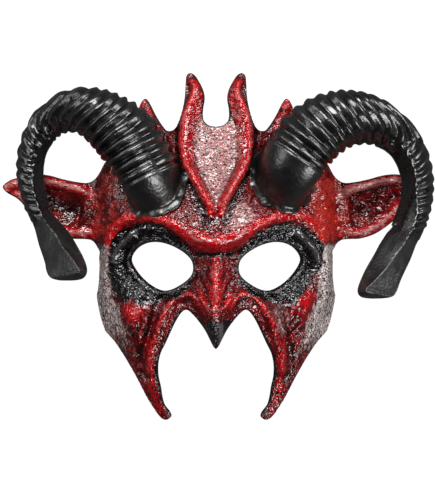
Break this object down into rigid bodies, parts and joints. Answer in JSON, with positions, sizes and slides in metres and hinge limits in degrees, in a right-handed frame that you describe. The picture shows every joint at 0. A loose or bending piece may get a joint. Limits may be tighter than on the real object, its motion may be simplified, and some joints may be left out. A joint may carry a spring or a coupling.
{
  "type": "devil half mask",
  "caption": "Red devil half mask with pointed ears, a flame crest and curled black ram horns, lying face up",
  "frame": {"origin": "under the middle of the mask, on the surface it lies on", "axes": "+X is the right of the picture, along the ears; +Y is up the forehead; +Z is out of the face, upwards as it lies"},
  "size_m": [0.2766, 0.2173, 0.0806],
  "materials": {
    "shell_red": "moulded skin, painted red with dark shading and varnished",
    "horn_black": "moulded ridges, painted black and varnished"
  },
  "bodies": {
    "root": {"mask_shell": "shell_red", "left_horn": "horn_black", "right_horn": "horn_black"}
  },
  "joints": []
}
